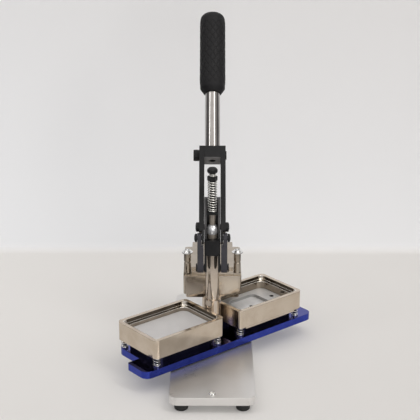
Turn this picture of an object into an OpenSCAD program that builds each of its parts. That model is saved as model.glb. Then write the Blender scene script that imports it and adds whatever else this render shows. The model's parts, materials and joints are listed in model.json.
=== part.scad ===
// Hand press for rectangular fridge magnets.
// A swivelling plate carries two lower dies round a fixed column. A lever on top of the column
// drives a ram inside it, and the ram carries the upper die. X is to the right, Y runs from the
// loading side to the pressing side, Z is up. Millimetres. The origin is under the base plate's centre.

/* [Base] */
// Width of the base plate
base_w = 100; // [90:1:120]
// Front edge of the base from the column axis
base_front = 160; // [150:1:190]
// Thickness of the base plate
base_t = 10; // [8:0.5:14]
// Corner radius of the base plate
base_r = 10; // [4:1:16]
// Diameter of a rubber foot
foot_d = 18; // [14:0.5:24]
// Height of a rubber foot
foot_h = 10.4; // [8:0.1:18]
// Foot centre in from the long edge
foot_inset_x = 14; // [13:0.5:20]
// Foot centre in from the short edge
foot_inset_y = 13; // [12.5:0.5:20]
// Diameter of the bench screw holes through the feet
bench_hole_d = 5; // [4:0.5:6]
// Head diameter of the screw at the front edge
front_screw_d = 8; // [6:0.5:9]
// Front screw in from the front edge
front_screw_inset = 9; // [6:0.5:10]

/* [Column and ram] */
// Outside diameter of the column
column_d = 17; // [16:0.5:18]
// Diameter of the ram that slides in the column
ram_d = 12; // [11:0.5:12.5]
// Diameter of the spring stud on top of the ram
stud_d = 7.6; // [6:0.2:8]
// Travel of the ram
ram_travel = 9.8; // [8:0.1:10]
// Thickness of the arm between the ram and the upper die
arm_w = 8; // [6:0.5:8]
// Length of the stud above the lever pin
stud_h = 75; // [74:1:82]
// Diameter of the ram's eye
eye_d = 13.6; // [12.8:0.1:13.6]
// Straight part of the ram's eye
eye_l = 3; // [2:0.5:4]
// Middle of the eye under the lever pin
eye_drop = 3.4; // [2:0.1:4]

/* [Swivel plate] */
// Turn of the plate at rest
swivel_angle = 40; // [0:1:80]
// Cut-back end of the plate past the die ring
plate_margin = -0.9; // [-2:0.1:3]
// Stop tab past the cut-back end
tab_reach = 18; // [16:0.5:22]
// Width of the plate
plate_w = 84; // [80:1:88]
// Thickness of the plate
plate_t = 9; // [7:0.5:11]
// Corner radius of the cut-back corners
plate_r = 13; // [12.5:0.5:18]
// Outer corner radius of the tabs
tab_r = 10; // [4:1:14]
// Thickness of the thrust washer under the plate
washer_t = 1.5; // [1:0.5:4]
// Diameter of the thrust washer
washer_d = 56; // [40:1:70]
// Outside diameter of the hub sleeve
hub_d = 22; // [21:0.5:24]
// Height of the hub sleeve
hub_h = 45; // [36:0.5:46]
// Diameter of the stop pin
stop_d = 9; // [6:0.5:10]
// Stop pin past the cut-back end of the plate
stop_gap = 6.5; // [5:0.5:8]
// Stop pin in from the back edge of the base
stop_margin = 9.5; // [7:0.5:20]

/* [Lower dies] */
// Length of a die ring
ring_l = 108; // [103:0.5:109]
// Width of a die ring
ring_w = 78; // [74:0.5:79]
// Height of a die ring
ring_h = 23.8; // [23:0.1:28]
// Outer corner radius of a die ring
ring_r = 6; // [3:0.5:8]
// Wall of the ring below its step
ring_wall = 8; // [7:0.5:9]
// Wall of the ring at its rim
rim_wall = 5; // [4:0.5:6]
// Depth of the step under the rim
rim_step = 6; // [4:0.5:8]
// Inner corner radius of the ring
ring_in_r = 10; // [9:0.5:12]
// Travel of a die ring on its springs
ring_travel = 7.6; // [7.4:0.1:8]
// Gap left under a die ring that is pressed down
ring_clear = 3.4; // [2.5:0.1:4]
// End of the ring from the column axis
ring_start = 12.4; // [12.3:0.1:13]
// Top of the left insert under the rim
left_depth = 10.6; // [8.5:0.1:12]
// Thickness of the left insert
insert_t = 3; // [2:0.5:6]
// Right core's top under the rim
right_depth = 15.5; // [10:0.1:16]
// Pocket length in the right core
pocket_l = 46; // [36:1:54]
// Pocket width in the right core
pocket_w = 44; // [34:1:50]
// Pocket depth in the right core
pocket_d = 4.5; // [2:0.5:6]
// Diameter of the hole in the pocket
pocket_hole_d = 5; // [4:0.5:8]
// Diameter of the holes beside the pocket
core_hole_d = 6; // [4:0.5:7]
// Holes beside the pocket from the middle of the core
core_hole_u = 36; // [34:0.5:38]
// Rail under the long sides of the right ring, in from its ends
rail_inset = 12; // [11.8:0.1:16]
// Width of that rail
rail_w = 5; // [4:0.5:5]
// Rail in from the ring's outer face
rail_step = 1.5; // [0.5:0.5:2]

/* [Die springs] */
// Coil diameter over the wire
die_spring_d = 9; // [8:0.2:9.2]
// Wire of a die spring
die_wire = 1.1; // [0.8:0.1:1.2]
// Curls of a die spring
die_curls = 6; // [4:1:6]
// Depth of the spring seat in the ring
spring_bore_h = 8; // [7:0.5:10]
// Spring axis in from the ring's faces
spring_inset = 6.5; // [6.3:0.1:7]
// Diameter of the pin inside a die spring
spring_pin_d = 4; // [3:0.2:4.4]
// Height of the pin above the plate
spring_pin_h = 7; // [5:0.5:9]

/* [Upper die] */
// Gap between the rim and the punch with the lever up
press_gap = 2.5; // [2.4:0.1:5]
// Length of the upper die block
upper_l = 103; // [98:0.5:106]
// Width of the upper die block
upper_w = 74; // [70:0.5:78]
// Height of the upper die block
upper_h = 25; // [20:0.5:30]
// Corner radius of the upper die block
upper_r = 4; // [2:0.5:8]
// Front face from the column axis
upper_start = 17; // [16:0.5:18]
// Punch edge in from the block's faces
punch_inset = 3; // [2:0.5:5]
// Height of the punch
punch_h = 5.5; // [4:0.5:8]
// Width of the pressing edge round the punch cavity
punch_edge = 9; // [6:0.5:12]
// Depth of the punch cavity
punch_cavity = 3; // [1.5:0.5:3.5]
// Width of the pad
pad_w = 53.5; // [46:0.5:53.5]
// Length of the pad
pad_l = 93; // [84:1:96]
// Height of the pad's lower layer
pad_low_h = 5.8; // [4:0.2:8]
// Height of the pad's upper layer
pad_high_h = 4; // [3:0.2:6]
// Set-back of the upper layer
pad_step = 4; // [2:0.5:6]
// Guide screws apart
guide_gap = 63.4; // [63:0.1:64]
// Guide screw behind the block's front face
guide_inset = 7; // [5.5:0.5:9]
// Diameter of a guide sleeve
guide_d = 9; // [7:0.5:9]
// Height of a guide sleeve
guide_h = 29.5; // [22:0.5:34]
// Diameter of a guide screw head
guide_head_d = 14; // [11:0.5:15]

/* [Head] */
// Head bracket above the pad
head_gap = 30; // [26:0.5:36]
// Height of the head block
head_h = 19.5; // [19:0.5:24]
// Half width of the bracket over its cheeks
cheek_x = 9.9; // [9.5:0.1:10.2]
// Thickness of a cheek
cheek_t = 2.8; // [2.4:0.1:2.8]
// Front of the bracket from the column axis
head_front = 13; // [12:0.5:15]
// Back of the bracket from the column axis
head_back = 13; // [12:0.5:16]
// Thickness of the back web
web_t = 4; // [3:0.5:4.5]
// Height of the web above the lever pin
web_h = 35; // [30:1:40]
// Raised front face of the head block
face_t = 2; // [1:0.5:3]
// Lever pin above the head block
pivot_h = 13.3; // [13.2:0.1:16]

/* [Links] */
// Lever pin to link bolt
crank_r = 14; // [13.5:0.1:15]
// Link bolt to anchor stud
link_l = 38; // [34:0.5:40]
// Anchor stud in front of the column axis
anchor_front = 12.5; // [12:0.1:13.5]
// Thickness of a link where it laps the lever
link_t = 5; // [4:0.5:6]
// Link's inner face beside the cheek
link_gap = 0.9; // [0.8:0.1:1.5]
// Half width of a link
link_r = 6.2; // [5.8:0.1:6.4]
// Diameter of a link bolt
link_bolt_d = 6; // [5:0.5:6]
// Diameter of an anchor stud
anchor_d = 6; // [5:0.5:6]
// Play of the anchor stud in the link
anchor_play = 1.1; // [1.1:0.1:1.6]

/* [Lever] */
// Lean of the lever at rest
lever_lean = 36; // [30:1:40]
// Half gap between the yoke plates
yoke_gap = 10.2; // [10.2:0.1:10.6]
// Thickness of a yoke plate
yoke_t = 6.3; // [5:0.1:7]
// Thickness left of the plate where the link laps it
yoke_lap = 3; // [2.5:0.1:3.5]
// Half width of a yoke plate at the block
yoke_top_r = 14.5; // [11:0.5:16]
// Half width of a yoke plate at the link bolt
yoke_low_r = 8; // [7.5:0.5:9]
// Lever pin to the underside of the yoke block
block_s = 86.9; // [85:0.1:96]
// Height of the yoke block
block_h = 15; // [13:0.1:18]
// Diameter of the lever pin
pin_d = 7; // [6:0.5:7.5]
// Head diameter of the lever pin
pin_head_d = 12; // [10:0.5:13]
// Diameter of the handle bar
bar_d = 19; // [16:0.5:20]
// Bare length of the handle bar
bar_l = 75.6; // [60:0.2:100]
// Diameter of the grip
grip_d = 33; // [28:0.5:36]
// Length of the grip
grip_l = 112; // [100:1:130]
// Chamfer of the grip's mouth across the bar
mouth_in = 5; // [2:0.5:6]
// Chamfer of the grip's mouth along the bar
mouth_h = 7; // [3:0.5:10]

/* [Return spring] */
// Coil diameter over the wire
spring_d = 12; // [11.4:0.1:12.4]
// Wire of the return spring
spring_wire = 1.5; // [1:0.1:1.6]
// Curls of the return spring
spring_curls = 12; // [10:1:14]
// Length of the return spring with the lever up
spring_l = 40; // [36:0.5:42]
// Width of the spring nut over its flats
nut_w = 11; // [10:0.5:12]
// Height of the spring nut
nut_h = 5; // [4:0.5:6]
// Diameter of the spring cap
cap_d = 12.4; // [11:0.2:13]
// Height of the spring cap
cap_h = 6.5; // [6:0.5:8]

/* [Fits] */
// Radial clearance of a turning or sliding round fit
fit_c = 0.05; // [0.02:0.01:0.08]
// Clearance between faces that pass each other
pass_c = 0.3; // [0.25:0.05:0.5]

/* [Hidden] */
$fn = 64;
eps = 0.01;
base_top = foot_h + base_t;
plate_l2 = ring_start + ring_l + plate_margin;
tab_l2 = plate_l2 + tab_reach;
stop_r = plate_l2 + stop_gap + stop_d / 2;
base_back = stop_r + stop_margin;
base_l = base_front + base_back;
column_y = (base_front - base_back) / 2;
plate_z = base_top + washer_t;
plate_top = plate_z + plate_t;
ring_float = ring_travel + ring_clear;
ring_z = plate_top + ring_float;
rim_z = ring_z + ring_h;
punch_z = rim_z + press_gap;
upper_z = punch_z + punch_h;
upper_top = upper_z + upper_h;
pad_top = upper_top + pad_low_h + pad_high_h;
hub_top = plate_top + hub_h;
arm_z = hub_top + ram_travel + 1.5;
head_z = pad_top + head_gap;
head_top = head_z + head_h;
pivot_z = head_top + pivot_h;
ram_z = arm_z - 6;
bore_z = ram_z - ram_travel - 2;
ring_mid = ring_start + ring_l / 2;
pad_start = upper_start + (upper_l - pad_l) / 2 - 2;
tab_v = stop_d / 2 + pass_c;
eye_z = pivot_z - eye_drop;
column_top = eye_z - ram_travel - eye_l / 2 - eye_d / 2 - 1;
seat_t = 3;
seat_top = pivot_z + 21;
nut_z = seat_top + spring_l;
cap_z = pivot_z + stud_h - cap_h + 2;
crank_y = -crank_r * sin(lever_lean);
crank_z = pivot_z - crank_r * cos(lever_lean);
anchor_z = crank_z - sqrt(link_l * link_l - pow(crank_y + anchor_front, 2));
link_x = yoke_gap + yoke_lap + pass_c;
link_end = link_x + link_t;
link_in = cheek_x + link_gap;
cheek_front = pin_d / 2 + pass_c + 3;
lug_r = 6;
lap_s = link_r + 0.8 - crank_r;
core_c = pass_c;
rail_h = ring_clear - pass_c;
screw_s = block_s + block_h / 2 - 0.4;
bar_s = block_s + block_h;
grip_s = bar_s + bar_l;
bolt_d = 8;
stop_seat = 6;
pin_seat = 5;
arm_in = 8;
guide_shank_d = 5;
yoke_screw_d = 8;
yoke_screw_in = 5;
spigot_d = 8;
spigot_l = 11;
core_l = ring_l - 2 * ring_wall - 2 * core_c;
core_w = ring_w - 2 * ring_wall - 2 * core_c;
core_r = ring_in_r - core_c;

steel = [0.78, 0.76, 0.72];
dark = [0.16, 0.16, 0.17];
blue = [0.10, 0.18, 0.60];
alloy = [0.75, 0.76, 0.77];
rubber = [0.06, 0.06, 0.06];

// Places the children on the column axis at height z
module at_column(z = 0) { translate([0, column_y, z]) children(); }

// Places the children on the swivel plate, with X along the plate
module on_swivel(z = 0) { at_column(z) rotate(swivel_angle) children(); }

// Places the children on one end of the plate: side is 1 for the right die and -1 for the left
module on_die(side, z = 0) { on_swivel(z) translate([side * ring_mid, 0, 0]) children(); }

// Places the children on the lever, with Z along the handle and the origin in the lever pin
module on_lever(s = 0) { at_column(pivot_z) rotate([-lever_lean, 0, 0]) translate([0, 0, s]) children(); }

// Rectangle with round corners, centred
module round_rect(l, w, r) {
  square([l - 2 * r, w], center = true);
  square([l, w - 2 * r], center = true);
  for (i = [-1, 1], j = [-1, 1]) translate([i * (l / 2 - r), j * (w / 2 - r)]) circle(r);
}

// Turns an outline drawn in Y and Z into a plate from x0 to x1
module plate_x(x0, x1) { translate([x0, 0, 0]) rotate([90, 0, 90]) linear_extrude(x1 - x0) children(); }

// Round bar along X from x0 to x1
module bar_x(x0, x1, d) { translate([x0, 0, 0]) rotate([0, 90, 0]) cylinder(h = x1 - x0, d = d); }

// Runs the children on the left or on the right: side is -1 or 1
module on_side(side) { mirror([side < 0 ? 1 : 0, 0, 0]) children(); }

// Path of a coil with its wire ends stood square on the seats
function coil_path(r, wire, length, curls) = let (n = 8 * curls, rise = length - 2 * wire)
  concat([[r, 0, 0]],
    [for (i = [0:n]) [r * cos(i * 45), r * sin(i * 45), wire + rise * i / n]],
    [[r * cos(n * 45), r * sin(n * 45), length]]);

// Direction of a path at one of its points
function path_way(p, i) = let (a = p[max(i - 1, 0)], b = p[min(i + 1, len(p) - 1)]) (b - a) / norm(b - a);

// Six points round a path point, on the wire's surface
function wire_ring(p, i, wire) = let (out = [p[i].x, p[i].y, 0] / norm([p[i].x, p[i].y]), way = path_way(p, i),
  side = cross(way, out) / norm(cross(way, out)), up = cross(side, way))
  [for (k = [0:5]) p[i] + wire / 2 * (cos(60 * k) * up + sin(60 * k) * side)];

// Least gap between neighbouring curls, measured on the path's points
function coil_gap(p, wire) = min([for (i = [1:len(p) - 10]) norm(p[i + 8] - p[i])]) - wire;

// Wire swept along a coil path as one closed tube
module coil(d, wire, length, curls) {
  p = coil_path((d - wire) / 2, wire, length, curls);
  n = len(p);
  points = [for (i = [0:n - 1]) each wire_ring(p, i, wire)];
  walls = [for (i = [0:n - 2], k = [0:5]) let (a = 6 * i + k, b = 6 * i + (k + 1) % 6) each
    [[a, a + 6, b], [b, a + 6, b + 6]]];
  ends = [for (k = [1:4]) each [[0, k, k + 1], [6 * n - 6, 6 * n - 6 + k + 1, 6 * n - 6 + k]]];
  echo(coil_gap = coil_gap(p, wire));
  polyhedron(points, concat(walls, ends));
}

module base_plate() {
  color(alloy) difference() {
    translate([0, 0, foot_h]) linear_extrude(base_t) round_rect(base_w, base_l, base_r);
    at_column(base_top - base_t / 2) cylinder(h = base_t, d = column_d);
    at_column(foot_h - eps) cylinder(h = base_t, d = bolt_d);
    at_column(base_top - stop_seat) translate([0, stop_r, 0]) cylinder(h = base_t, d = stop_d);
    for (i = [-1, 1], j = [-1, 1]) foot_at(i, j) cylinder(h = foot_h + base_t - 3, d = bench_hole_d);
    translate([0, front_screw_inset - base_l / 2, base_top - 7]) cylinder(h = base_t, d = front_screw_d / 2);
  }
}

// Places the children at one foot, on the table
module foot_at(i, j) {
  translate([i * (base_w / 2 - foot_inset_x), j * (base_l / 2 - foot_inset_y), 0]) children();
}

// Rubber foot, a little narrower at the table, with the bench screw hole through it
module foot(i, j) {
  r = foot_d / 2;
  hole = bench_hole_d / 2;
  color(rubber) foot_at(i, j) rotate_extrude()
    polygon([[hole, 0], [r - 2, 0], [r - 1, 1], [r, foot_h - 1], [r - 0.6, foot_h], [hole, foot_h]]);
}

module foot_front_left() { foot(-1, -1); }
module foot_front_right() { foot(1, -1); }
module foot_back_left() { foot(-1, 1); }
module foot_back_right() { foot(1, 1); }

// Low round screw head with its shank in the base
module front_screw() {
  r = front_screw_d / 2;
  color(steel) translate([0, front_screw_inset - base_l / 2, base_top]) rotate_extrude()
    polygon([[0, -7], [r / 2, -7], [r / 2, 0], [r, 0], [r, 0.8], [r * 0.8, 2], [r * 0.5, 2.4], [r * 0.4, 1.2],
      [0, 1.2]]);
}

// Pin that the plate's tabs stop against
module stop_pin() {
  h = washer_t + plate_t + 1;
  r = stop_d / 2;
  color(steel) at_column(base_top) translate([0, stop_r, 0]) rotate_extrude()
    polygon([[0, -stop_seat], [r, -stop_seat], [r, h - 1], [r - 1, h], [0, h]]);
}

// Tube that stands in the base, with the ram's bore and the slot that the die arm runs in
module column() {
  low = base_top - base_t / 2;
  color(steel) at_column() difference() {
    translate([0, 0, low]) cylinder(h = column_top - low, d = column_d);
    translate([0, 0, bore_z]) cylinder(h = head_top, d = ram_d + 2 * fit_c);
    translate([0, 0, low - eps]) cylinder(h = 15, d = bolt_d);
    translate([-arm_w / 2 - pass_c, 0, arm_z - ram_travel - 1])
      cube([arm_w + 2 * pass_c, column_d, pad_top - arm_z + ram_travel + 2]);
  }
}

// Bolt that holds the column from under the base
module column_bolt() {
  color(steel) at_column(foot_h) union() {
    cylinder(h = base_t / 2 + 14, d = bolt_d);
    translate([0, 0, -6]) cylinder(h = 6, d = bolt_d * 1.8, $fn = 6);
  }
}

module thrust_washer() {
  color([0.85, 0.83, 0.76]) at_column(base_top) difference() {
    cylinder(h = washer_t, d = washer_d);
    translate([0, 0, -eps]) cylinder(h = washer_t + 1, d = column_d + 2 * fit_c);
  }
}

// Outline of the plate: cut-back ends, and a stop tab on the same long side at both ends
module plate_outline() {
  round_rect(2 * plate_l2, plate_w, plate_r);
  for (i = [-1, 1]) mirror([i < 0 ? 1 : 0, 0]) {
    translate([plate_l2 - 40, -plate_w / 2]) square([tab_l2 - tab_r - plate_l2 + 40, plate_w / 2 - tab_v]);
    translate([plate_l2 - 40, tab_r - plate_w / 2])
      square([tab_l2 - plate_l2 + 40, plate_w / 2 - tab_v - tab_r - 3]);
    translate([plate_l2 - 40, -tab_v - 6]) square([tab_l2 - plate_l2 + 37, 6]);
    translate([tab_l2 - tab_r, tab_r - plate_w / 2]) circle(tab_r);
    translate([tab_l2 - 3, -tab_v - 3]) circle(3);
  }
}

module swivel_plate() {
  color(blue) on_swivel(plate_z) difference() {
    linear_extrude(plate_t) plate_outline();
    translate([0, 0, -eps]) cylinder(h = plate_t + 1, d = column_d + 2 * fit_c);
    for (side = [-1, 1]) translate([side * ring_mid, 0, plate_t - pin_seat]) die_corners() cylinder(h = plate_t,
      d = spring_pin_d);
  }
}

// Sleeve on the plate that turns on the column
module hub_sleeve() {
  color(steel) on_swivel(plate_top) difference() {
    union() {
      cylinder(h = hub_h, d = hub_d);
      cylinder(h = 4, d = 2 * (ring_start - 1));
    }
    translate([0, 0, -eps]) cylinder(h = hub_h + 1, d = column_d + 2 * fit_c);
  }
}

// Runs the children at the four corner springs of a die
module die_corners() { for (k = [1:4]) die_corner(k) children(); }

// One corner of a die: 1 and 2 on the tab side, 3 and 4 behind, left first
module die_corner(k) {
  i = (k % 2 == 1) ? -1 : 1;
  j = (k < 3) ? -1 : 1;
  translate([i * (ring_l / 2 - spring_inset), j * (ring_w / 2 - spring_inset), 0]) children();
}

// Frame that slides on its core, with a step under the rim and spring seats under the corners
module die_frame() {
  difference() {
    linear_extrude(ring_h) round_rect(ring_l, ring_w, ring_r);
    translate([0, 0, -eps]) linear_extrude(ring_h + 1)
      round_rect(ring_l - 2 * ring_wall, ring_w - 2 * ring_wall, ring_in_r);
    translate([0, 0, ring_h - rim_step]) linear_extrude(ring_h)
      round_rect(ring_l - 2 * rim_wall, ring_w - 2 * rim_wall, ring_r);
    translate([0, 0, -eps]) die_corners() cylinder(h = spring_bore_h + eps, d = die_spring_d + 1);
  }
}

module left_die_ring() { color(steel) on_die(-1, ring_z) die_frame(); }

// The right ring also has a rail under each long side
module right_die_ring() {
  l = ring_l - 2 * rail_inset;
  color(steel) on_die(1, ring_z) union() {
    die_frame();
    for (j = [-1, 1]) translate([-l / 2, j * (ring_w / 2 - rail_step - rail_w / 2) - rail_w / 2, -rail_h])
      cube([l, rail_w, rail_h]);
  }
}

module left_die_core() {
  color(steel) on_die(-1, plate_top) linear_extrude(rim_z - left_depth - insert_t - plate_top)
    round_rect(core_l, core_w, core_r);
}

// Pale plate on the left core that the artwork is laid on
module left_die_insert() {
  color([0.82, 0.83, 0.85]) on_die(-1, rim_z - left_depth - insert_t) linear_extrude(insert_t)
    round_rect(core_l, core_w, core_r);
}

// Core with a square pocket for the magnet and holes for its ejector pins
module right_die_core() {
  h = rim_z - right_depth - plate_top;
  color(alloy) on_die(1, plate_top) difference() {
    linear_extrude(h) round_rect(core_l, core_w, core_r);
    translate([0, 0, h - pocket_d]) linear_extrude(h) round_rect(pocket_l, pocket_w, 8);
    translate([0, 0, h - pocket_d - 6]) cylinder(h = h, d = pocket_hole_d);
    for (i = [-1, 1]) translate([i * core_hole_u, 0, h - 10]) cylinder(h = h, d = core_hole_d);
  }
}

// Short pins in the plate that centre the die springs
module die_pins(side) {
  color(steel) on_die(side, plate_top) die_corners() translate([0, 0, -pin_seat])
    cylinder(h = pin_seat + spring_pin_h, d = spring_pin_d);
}

module left_die_pins() { die_pins(-1); }
module right_die_pins() { die_pins(1); }

module die_spring(side, k) {
  color(steel) on_die(side, plate_top) die_corner(k)
    coil(die_spring_d, die_wire, ring_float + spring_bore_h, die_curls);
}

module left_spring_1() { die_spring(-1, 1); }
module left_spring_2() { die_spring(-1, 2); }
module left_spring_3() { die_spring(-1, 3); }
module left_spring_4() { die_spring(-1, 4); }
module right_spring_1() { die_spring(1, 1); }
module right_spring_2() { die_spring(1, 2); }
module right_spring_3() { die_spring(1, 3); }
module right_spring_4() { die_spring(1, 4); }

// Half outline of the ram's eye, straight in the middle and round at both ends
module eye_outline() {
  intersection() {
    for (i = [-1, 1]) translate([0, i * eye_l / 2]) circle(d = eye_d);
    translate([0, -eye_d]) square([eye_d, 2 * eye_d]);
  }
  translate([0, -eye_l / 2]) square([eye_d / 2, eye_l]);
}

// Ram with its slot for the die arm, its eye for the lever pin and the stud of the return spring
module ram_rod() {
  color(steel) at_column() difference() {
    union() {
      translate([0, 0, ram_z]) cylinder(h = eye_z - ram_z, d = ram_d);
      translate([0, 0, eye_z]) rotate_extrude() eye_outline();
      translate([0, 0, eye_z]) cylinder(h = pivot_z + stud_h - eye_z, d = stud_d);
    }
    translate([-arm_w / 2, 0, arm_z]) cube([arm_w, ram_d, pad_top - arm_z]);
    translate([0, 0, pivot_z]) bar_x(-ram_d, ram_d, pin_d + 2 * fit_c);
  }
}

// Flat arm from the ram through the column's slot into the upper die
module die_arm() {
  color(steel) at_column(arm_z) translate([-arm_w / 2, 0, 0])
    cube([arm_w, upper_start + arm_in, pad_top - arm_z]);
}

// Room for the arm in the pieces that it holds
module arm_slot() {
  at_column(arm_z) translate([-arm_w / 2, 0, 0]) cube([arm_w, upper_start + arm_in, pad_top - arm_z + 1]);
}

// Places the children over the middle of the upper die
module on_upper(z) { at_column(z) translate([0, upper_start + upper_l / 2, 0]) children(); }

module upper_die_block() {
  color(steel) difference() {
    on_upper(upper_z) linear_extrude(upper_h) round_rect(upper_w, upper_l, upper_r);
    arm_slot();
    for (side = [-1, 1]) guide_at(side, upper_top - 12) cylinder(h = 20, d = guide_shank_d);
  }
}

// Pressing plate with the cavity that shapes the magnet's face
module upper_die_punch() {
  l = upper_l - 2 * punch_inset;
  w = upper_w - 2 * punch_inset;
  color(steel) on_upper(punch_z) difference() {
    linear_extrude(punch_h) round_rect(w, l, upper_r);
    translate([0, 0, punch_cavity - punch_h]) linear_extrude(punch_h)
      round_rect(w - 2 * punch_edge, l - 2 * punch_edge, 6);
  }
}

// Two-layer pad that spreads the ram's force over the block
module upper_die_pad() {
  color(steel) difference() {
    at_column(upper_top) translate([-pad_w / 2, pad_start, 0]) union() {
      cube([pad_w, pad_l, pad_low_h]);
      translate([0, pad_step, 0]) cube([pad_w, pad_l - pad_step, pad_low_h + pad_high_h]);
    }
    arm_slot();
  }
}

// Places the children at one guide screw
module guide_at(side, z) {
  at_column(z) translate([side * guide_gap / 2, upper_start + guide_inset, 0]) children();
}

// Sleeve on a square foot, with a groove at its joint
module guide_sleeve(side) {
  r = guide_d / 2;
  color(steel) guide_at(side, upper_top) difference() {
    union() {
      translate([-r - 0.2, -r - 0.2, 0]) cube([guide_d + 0.4, guide_d + 0.4, 3]);
      rotate_extrude() polygon([[0, 0], [r, 0], [r, guide_h * 0.55], [r - 0.6, guide_h * 0.57],
        [r - 0.6, guide_h * 0.6], [r, guide_h * 0.62], [r, guide_h], [0, guide_h]]);
    }
    translate([0, 0, -1]) cylinder(h = guide_h + 2, d = guide_shank_d);
  }
}

module guide_sleeve_left() { guide_sleeve(-1); }
module guide_sleeve_right() { guide_sleeve(1); }

// Screw through a sleeve, with a flanged head and a hexagon socket
module guide_screw(side) {
  r = guide_head_d / 2;
  color(steel) guide_at(side, upper_top) difference() {
    rotate_extrude() polygon([[0, -12], [guide_shank_d / 2, -12], [guide_shank_d / 2, guide_h], [r, guide_h],
      [r, guide_h + 1], [r * 0.8, guide_h + 2], [r * 0.58, guide_h + 3.4], [r * 0.5, guide_h + 3.8],
      [0, guide_h + 3.8]]);
    translate([0, 0, guide_h + 1]) cylinder(h = 5, d = guide_head_d * 0.42, $fn = 6);
  }
}

module guide_screw_left() { guide_screw(-1); }
module guide_screw_right() { guide_screw(1); }

// Side view of a cheek: block, set-back front beside the lever pin, slope above it, lug for the anchor stud
module cheek_outline() {
  polygon([[-head_front, head_z], [-head_front, head_top], [-cheek_front, head_top + 2],
    [-cheek_front, pivot_z + 6], [head_back - web_t - 5, pivot_z + web_h], [head_back, pivot_z + web_h],
    [head_back, head_z]]);
  translate([-anchor_front - lug_r, anchor_z]) square([2 * lug_r, head_z - anchor_z + 1]);
  translate([-anchor_front, anchor_z]) circle(lug_r);
}

// Slot through the bracket that the lever pin runs down in
module pin_slot() {
  w = pin_d / 2 + pass_c;
  translate([-w, pivot_z - ram_travel - pass_c]) square([2 * w, ram_travel + pass_c]);
  translate([0, pivot_z]) circle(w);
  translate([0, pivot_z - ram_travel - pass_c]) circle(w);
}

// Channel clamped on the column: head block, two cheeks, back web and lugs
module head_bracket() {
  color(dark) at_column() difference() {
    union() {
      for (side = [-1, 1]) on_side(side) plate_x(cheek_x - cheek_t, cheek_x) cheek_outline();
      translate([-cheek_x, -head_front, head_z]) cube([2 * cheek_x, head_front + head_back, head_h]);
      translate([1.1 - cheek_x, -head_front - face_t, head_z]) cube([2 * cheek_x - 2.2, face_t + 1, head_h]);
      translate([-cheek_x, head_back - web_t, head_z]) cube([2 * cheek_x, web_t, pivot_z + web_h - head_z]);
    }
    translate([0, 0, anchor_z - 20]) cylinder(h = column_top - anchor_z + 20, d = column_d);
    translate([0, 0, head_z]) cylinder(h = head_h + 1, d = eye_d + 2 * pass_c);
    plate_x(-cheek_x - 1, cheek_x + 1) pin_slot();
    translate([0, -anchor_front, anchor_z]) bar_x(-cheek_x - 1, cheek_x + 1, anchor_d);
  }
}

// Cross plate that the return spring stands on, between the cheeks and the web
module spring_seat() {
  w = cheek_x - cheek_t;
  color(dark) at_column(seat_top - seat_t) difference() {
    translate([-w, -spring_d / 2 - 0.8, 0]) cube([2 * w, spring_d / 2 + 0.8 + head_back - web_t, seat_t]);
    translate([0, 0, -1]) cylinder(h = seat_t + 2, d = stud_d + 2 * pass_c);
  }
}

module return_spring() {
  color(steel) at_column(seat_top) coil(spring_d, spring_wire, spring_l, spring_curls);
}

module spring_nut() {
  color(dark) at_column(nut_z) difference() {
    cylinder(h = nut_h, d = nut_w / cos(30), $fn = 6);
    translate([0, 0, -1]) cylinder(h = nut_h + 2, d = stud_d);
  }
}

// Domed cap nut on the end of the stud
module spring_cap() {
  r = cap_d / 2;
  color(dark) at_column(cap_z) difference() {
    rotate_extrude() polygon([[0, 0], [r - 0.8, 0], [r, 0.8], [r, cap_h - 2], [r - 1.6, cap_h - 0.3],
      [r - 2.6, cap_h], [0, cap_h]]);
    translate([0, 0, -1]) cylinder(h = cap_h - 1, d = stud_d);
  }
}

// Stud in a bracket lug: root, spacer boss, journal for the link and head
module anchor_stud(side) {
  color(dark) at_column(anchor_z) translate([0, -anchor_front, 0]) on_side(side) union() {
    bar_x(cheek_x - cheek_t, link_end + pass_c, anchor_d);
    bar_x(cheek_x, link_in - pass_c, anchor_d + 4);
    bar_x(link_end + pass_c, link_end + pass_c + 1.6, anchor_d + 4.5);
  }
}

module anchor_stud_left() { anchor_stud(-1); }
module anchor_stud_right() { anchor_stud(1); }

// Link from the lever's bolt down to the anchor stud, thicker under the yoke, with play in its lower eye
module link(side) {
  lean = atan2(crank_y + anchor_front, crank_z - anchor_z);
  color(dark) at_column(anchor_z) translate([0, -anchor_front, 0]) rotate([-lean, 0, 0]) on_side(side)
    difference() {
      union() {
        plate_x(link_x, link_end) {
          circle(link_r);
          translate([0, link_l]) circle(link_r);
          translate([-link_r, 0]) square([2 * link_r, link_l]);
        }
        plate_x(link_in, link_x + eps) {
          circle(link_r);
          translate([-link_r, 0]) square([2 * link_r, link_l - yoke_low_r - 2]);
        }
      }
      bar_x(link_in - 1, link_end + 1, anchor_d + 2 * anchor_play);
      translate([0, 0, link_l]) bar_x(link_x - 1, link_end + 1, link_bolt_d + 2 * fit_c);
    }
}

module link_left() { link(-1); }
module link_right() { link(1); }

// Shoulder bolt in the yoke plate that the link turns on
module link_bolt(side) {
  color(dark) on_lever(-crank_r) on_side(side) union() {
    bar_x(yoke_gap, link_end + pass_c, link_bolt_d);
    bar_x(link_end + pass_c, link_end + pass_c + 2.4, link_bolt_d + 4.5);
  }
}

module link_bolt_left() { link_bolt(-1); }
module link_bolt_right() { link_bolt(1); }

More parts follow.
